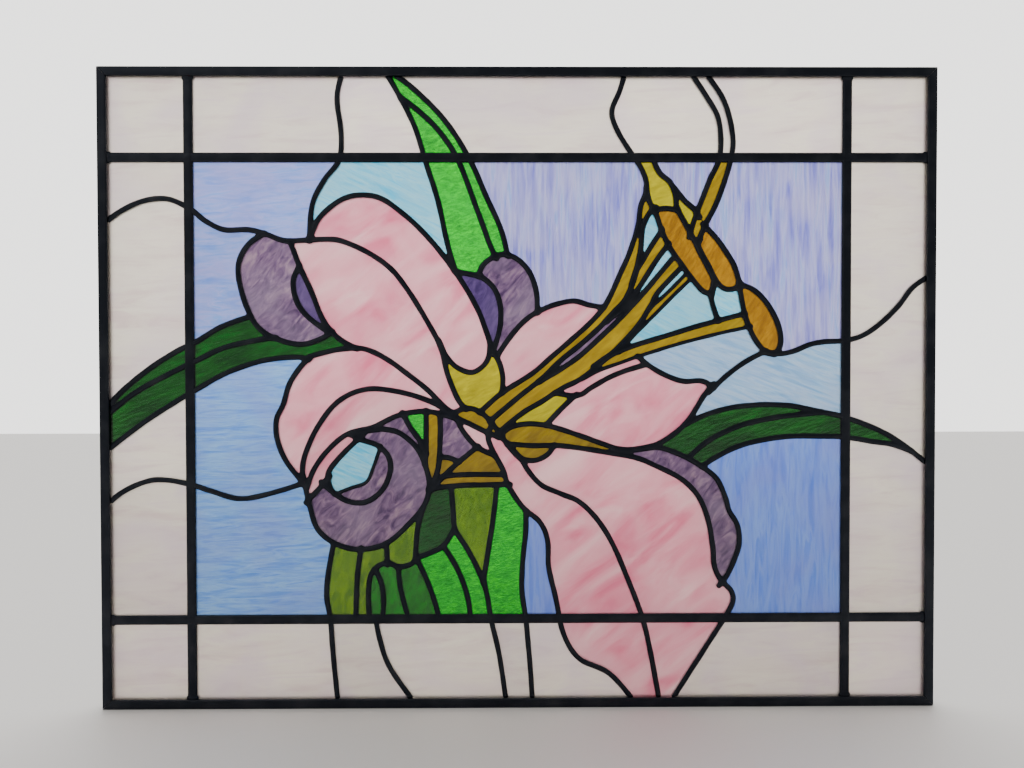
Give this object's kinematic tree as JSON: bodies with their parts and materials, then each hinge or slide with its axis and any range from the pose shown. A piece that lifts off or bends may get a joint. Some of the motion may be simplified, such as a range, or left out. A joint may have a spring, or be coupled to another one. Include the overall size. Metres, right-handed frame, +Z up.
{
  "type": "stained glass window",
  "caption": "Leaded stained glass panel with a lily and its leaves in a white border, edged by a slim black came",
  "frame": {"origin": "middle of the outer came's bottom edge, at half the panel's depth", "axes": "+X runs along the panel to the viewer's right, +Z is up, and -Y is the face seen in the picture"},
  "size_m": [0.6, 0.008, 0.46],
  "materials": {
    "black_patina": "black patina on solder and came",
    "white_glass": "opalescent, faint streaks",
    "blue_glass": "opalescent, blue to lilac streaks",
    "pink_glass": "opalescent, streaky rose",
    "violet_glass": "mottled, dark to pale violet",
    "green_glass": "translucent, rippled",
    "amber_glass": "translucent, yellow to brown gold"
  },
  "bodies": {
    "root": {"leadwork": "black_patina", "came_bottom": "black_patina", "came_right": "black_patina", "came_top": "black_patina", "came_left": "black_patina", "corner_top_left": "white_glass", "corner_top_right": "white_glass", "corner_bottom_left": "white_glass", "corner_bottom_right": "white_glass", "border_top_left": "white_glass", "border_top_leaf": "green_glass", "border_top_right": "white_glass", "border_right_upper": "white_glass", "border_right_leaf": "green_glass", "border_right_lower": "white_glass", "border_left_upper": "white_glass", "border_left_leaf": "green_glass", "border_left_lower": "white_glass", "border_bottom_left": "white_glass", "border_petal": "pink_glass", "border_bottom_right": "white_glass", "sky_top_left": "blue_glass", "top_leaf": "green_glass", "sky_top_middle": "blue_glass", "sky_by_styles": "blue_glass", "sky_top_right": "blue_glass", "sky_left_upper": "blue_glass", "left_leaf": "green_glass", "sky_left_middle": "blue_glass", "sky_left_lower": "blue_glass", "left_bud": "violet_glass", "upper_petal": "pink_glass", "wide_petal": "pink_glass", "curled_petal_back": "pink_glass", "curled_petal_front": "pink_glass", "curl_throat": "blue_glass", "curl": "violet_glass", "heart_pieces": "amber_glass", "heart_cup": "amber_glass", "heart_cap": "amber_glass", "middle_bud": "violet_glass", "back_petal": "pink_glass", "stamens": "amber_glass", "right_petal": "pink_glass", "anther_1": "amber_glass", "anther_2": "amber_glass", "anther_3": "amber_glass", "sky_by_anthers": "blue_glass", "sky_right_middle": "blue_glass", "right_leaf": "green_glass", "sky_right_lower": "blue_glass", "low_petal_left": "pink_glass", "low_petal_right": "pink_glass", "low_bud": "violet_glass", "short_sepal": "amber_glass", "long_sepal": "amber_glass", "sky_by_stems": "blue_glass", "stems": "green_glass", "wide_stem": "green_glass", "grass": "green_glass"}
  },
  "joints": []
}
